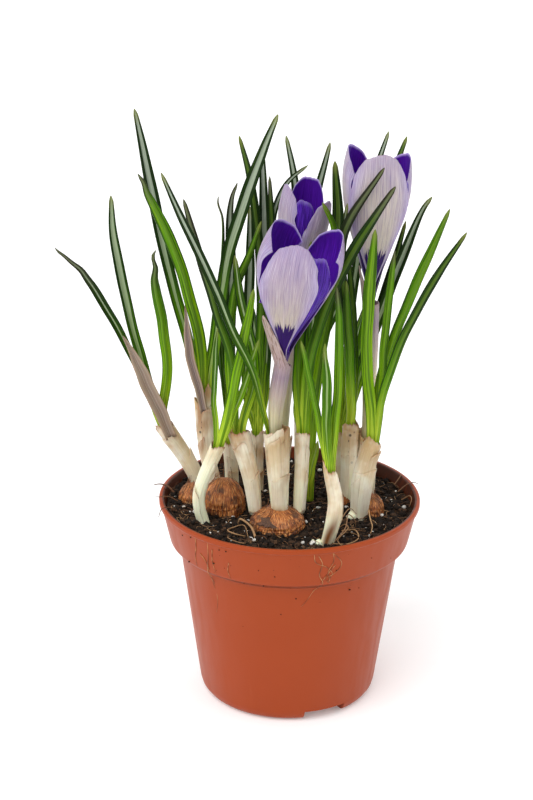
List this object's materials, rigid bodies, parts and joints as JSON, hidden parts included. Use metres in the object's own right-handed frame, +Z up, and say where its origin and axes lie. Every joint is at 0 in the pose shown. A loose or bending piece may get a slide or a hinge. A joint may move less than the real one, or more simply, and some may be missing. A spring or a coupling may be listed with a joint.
{
  "type": "potted crocus",
  "caption": "Clump of striped spring crocuses in bloom, with leaves, papery sheaths and corms in soil, in a round plastic nursery pot.",
  "frame": {"origin": "middle of the pot's underside, on the surface that the pot stands on", "axes": "+Z up along the pot's axis; -Y is the front, where the front flower and its corm stand; +X is to the right seen from the front"},
  "size_m": [0.1551, 0.1187, 0.2371],
  "materials": {
    "pot": "satin terracotta-coloured plastic",
    "soil": "damp crumbly potting soil with perlite and fibres",
    "corm": "dry fibrous brown tunic",
    "sheath": "dry papery cream sheath",
    "leaf": "waxy green with a pale midrib",
    "flower": "soft pale lilac outside, deep violet inside",
    "spathe": "thin translucent lilac-grey membrane",
    "stamen": "powdery orange and yellow"
  },
  "bodies": {
    "root": {"pot": "pot", "soil": "soil", "corm_front": "corm", "corm_mid_left": "corm", "corm_left_rear": "corm", "corm_right_rear": "corm", "corm_back": "corm", "sheath_far_left": "sheath", "leaves_far_left": "leaf", "sheath_left": "sheath", "leaves_left": "leaf", "sheath_front_left": "sheath", "leaves_front_left": "leaf", "sheath_mid_left": "sheath", "leaves_mid_left": "leaf", "sheath_front": "sheath", "leaves_front": "leaf", "sheath_front_middle": "sheath", "leaves_front_middle": "leaf", "leaves_middle": "leaf", "sheath_back_left": "sheath", "leaves_back_left": "leaf", "sheath_back_middle": "sheath", "leaves_back_middle": "leaf", "sheath_back": "sheath", "leaves_back": "leaf", "sheath_front_right": "sheath", "leaves_front_right": "leaf", "sheath_right": "sheath", "leaves_right": "leaf", "sheath_right_middle": "sheath", "leaves_right_middle": "leaf", "sheath_right_back": "sheath", "leaves_right_back": "leaf", "flower_front": "flower", "spathe_front": "spathe", "stamens_front": "stamen", "sheath_back_flower": "sheath", "flower_back": "flower", "spathe_back": "spathe", "stamens_back": "stamen", "sheath_right_flower": "sheath", "flower_right": "flower", "spathe_right": "spathe", "stamens_right": "stamen"}
  },
  "joints": []
}
